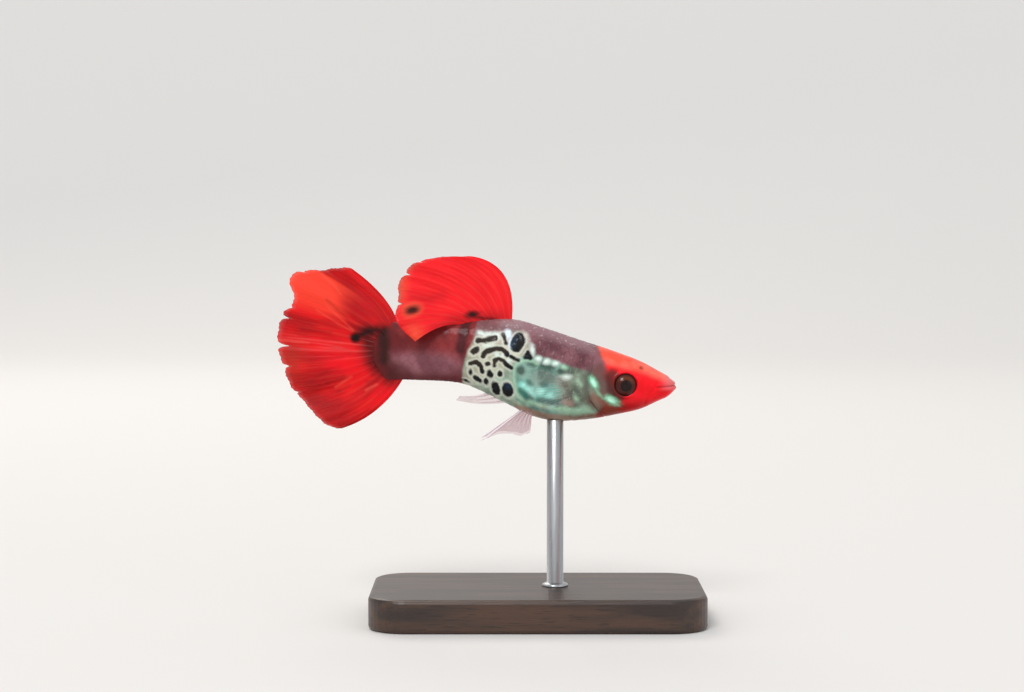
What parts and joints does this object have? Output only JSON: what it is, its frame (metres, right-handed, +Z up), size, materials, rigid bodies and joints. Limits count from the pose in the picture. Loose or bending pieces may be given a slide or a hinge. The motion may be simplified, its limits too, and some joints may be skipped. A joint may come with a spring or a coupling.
{
  "type": "fancy guppy display model",
  "caption": "Life-size still model of a male fancy guppy in mid-swim, with fanned fins, held over a flat base by one short rod.",
  "frame": {"origin": "middle of the stand base's underside, on the floor", "axes": "+X towards the fish's snout, +Y towards the fish's left side, +Z up"},
  "size_m": [0.0387, 0.017, 0.0329],
  "materials": {
    "head_skin": "smooth moist scarlet skin over the head, satin to glossy",
    "body_skin": "finely scaled skin, metallic turquoise flank with black snakeskin marks behind it, glossy",
    "stalk_skin": "finely scaled translucent maroon-grey skin, glossy",
    "gill_plate": "bony gill cover under thin skin, red with mint metallic patches",
    "red_fin": "thin scarlet fin membrane with fine rays, translucent satin",
    "clear_fin": "almost clear fin membrane with fine pale rays",
    "eye": "dark glossy eye with a black pupil and a brown iris",
    "base_wood": "dark stained hardwood, sanded and oiled",
    "rod_steel": "drawn stainless steel rod, fine lengthwise brushing"
  },
  "bodies": {
    "root": {"head": "head_skin", "lower_jaw": "head_skin", "gill_cover_right": "gill_plate", "gill_cover_left": "gill_plate", "eye_right": "eye", "eye_left": "eye", "trunk": "body_skin", "tail_stalk": "stalk_skin", "dorsal_fin": "red_fin", "caudal_fin": "red_fin", "anal_fin": "clear_fin", "pelvic_fin_right": "clear_fin", "pelvic_fin_left": "clear_fin", "pectoral_fin_right": "clear_fin", "pectoral_fin_left": "clear_fin", "stand_base": "base_wood", "stand_rod": "rod_steel"}
  },
  "joints": []
}
